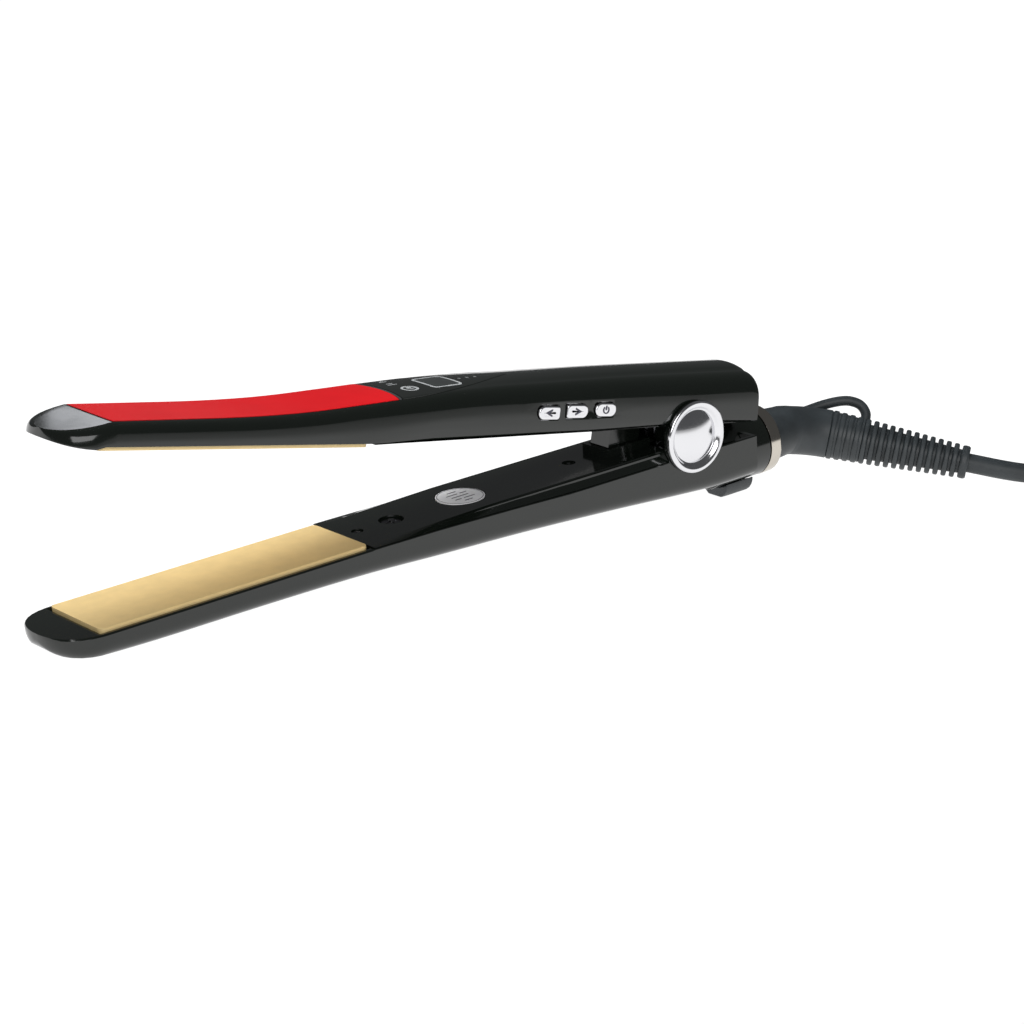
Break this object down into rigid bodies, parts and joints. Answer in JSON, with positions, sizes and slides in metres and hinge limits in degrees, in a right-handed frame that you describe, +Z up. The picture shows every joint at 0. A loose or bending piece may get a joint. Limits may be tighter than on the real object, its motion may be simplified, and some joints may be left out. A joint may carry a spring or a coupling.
{
  "type": "hair straightener",
  "caption": "Slim hair straightener with sprung hinged arms, floating heating plates, a red inlay, side buttons and a swivel cord.",
  "frame": {"origin": "bottom centre of the iron's own bounding box, without the cord: the surface it lies on is z = 0", "axes": "+X runs from the plate tips to the cord, -Y is the side with the buttons, +Z is up; the lower arm slopes down 4.4 degrees to its tip, as it lies on a table"},
  "size_m": [0.5357, 0.0852, 0.0649],
  "materials": {
    "gloss_black": "glossy moulded thermoplastic",
    "satin_black": "satin moulded plastic",
    "cord_rubber": "satin dark grey flexible moulding",
    "chrome": "bright plated",
    "steel": "plain steel",
    "ceramic": "pale gold coated heating plate",
    "red_gloss": "clear-coated bright red",
    "window": "dark tinted display window",
    "label": "satin silver label",
    "white_insulation": "silicone insulation and ceramic heater",
    "cushion": "red-brown silicone foam",
    "board": "green circuit board",
    "display": "grey display module",
    "brass": "plain brass"
  },
  "bodies": {
    "lower_arm": {"lower_casing": "gloss_black", "lower_inner_cover": "gloss_black", "lower_plate_carrier": "steel", "lower_cushion_front": "cushion", "lower_cushion_rear": "cushion", "rating_label": "label", "cover_screw_1": "steel", "cover_screw_2": "steel", "cover_screw_3": "steel", "swivel_collar": "gloss_black", "swivel_end_plate": "satin_black", "chrome_ring": "chrome", "rear_foot": "cord_rubber", "hinge_pin": "steel", "hinge_cap_near": "chrome", "hinge_cap_far": "chrome", "opening_spring": "steel", "lower_lead_1": "white_insulation", "lower_lead_2": "white_insulation", "thermal_fuse": "steel"},
    "lower_plate_float": {"lower_plate": "ceramic", "lower_heater": "white_insulation"},
    "upper_arm": {"upper_casing": "gloss_black", "upper_inner_cover": "gloss_black", "upper_plate_carrier": "steel", "upper_cushion_front": "cushion", "upper_cushion_rear": "cushion", "red_inlay": "red_gloss", "inlay_trim": "chrome", "control_panel": "gloss_black", "display_window": "window", "display_module": "display", "control_board": "board", "switch_board": "board", "handle_screw_1": "steel", "handle_screw_2": "steel", "light_pipe_1": "white_insulation", "light_pipe_2": "white_insulation", "light_pipe_3": "white_insulation", "upper_lead_1": "white_insulation", "upper_lead_2": "white_insulation", "tact_switch_1": "satin_black", "tact_switch_2": "satin_black", "tact_switch_3": "satin_black"},
    "upper_plate_float": {"upper_plate": "ceramic", "upper_heater": "white_insulation"},
    "button_down": {"button_down": "chrome"},
    "button_up": {"button_up": "chrome"},
    "button_power": {"button_power": "chrome"},
    "cord_swivel": {"swivel_stem": "satin_black", "strain_relief": "cord_rubber", "hanging_loop": "cord_rubber", "power_cord": "cord_rubber", "cord_hank": "cord_rubber", "cord_tail": "cord_rubber", "cord_tie": "satin_black", "plug_body": "satin_black", "plug_blade_1": "brass", "plug_blade_2": "brass"}
  },
  "joints": [
    {"name": "arm_pivot", "type": "hinge", "parent": "lower_arm", "child": "upper_arm", "pos_m": [0.092, 0, 0.0273], "axis": [0, -1, 0], "range_deg": [0, 13.26], "stiffness_Nm_per_rad": 0.25, "springref_deg": -68.75},
    {"name": "lower_plate_float_slide", "type": "slide", "parent": "lower_arm", "child": "lower_plate_float", "axis": [0.0773, 0, -0.997], "range_m": [0, 0.0008], "stiffness_N_per_m": 6000, "springref_m": -0.0005, "deforming": ["lower_cushion_front", "lower_cushion_rear"]},
    {"name": "upper_plate_float_slide", "type": "slide", "parent": "upper_arm", "child": "upper_plate_float", "axis": [0.1535, 0, 0.9882], "range_m": [0, 0.0008], "stiffness_N_per_m": 6000, "springref_m": -0.0005, "deforming": ["upper_cushion_front", "upper_cushion_rear"]},
    {"name": "button_down_press", "type": "slide", "parent": "upper_arm", "child": "button_down", "axis": [0, 1, 0], "range_m": [0, 0.0006], "stiffness_N_per_m": 1500, "springref_m": -0.0008},
    {"name": "button_up_press", "type": "slide", "parent": "upper_arm", "child": "button_up", "axis": [0, 1, 0], "range_m": [0, 0.0006], "stiffness_N_per_m": 1500, "springref_m": -0.0008},
    {"name": "button_power_press", "type": "slide", "parent": "upper_arm", "child": "button_power", "axis": [0, 1, 0], "range_m": [0, 0.0006], "stiffness_N_per_m": 1500, "springref_m": -0.0008},
    {"name": "cord_swivel_turn", "type": "hinge", "parent": "lower_arm", "child": "cord_swivel", "pos_m": [0.1348, 0, 0.0164], "axis": [0.997, 0, 0.0773], "continuous": true}
  ]
}
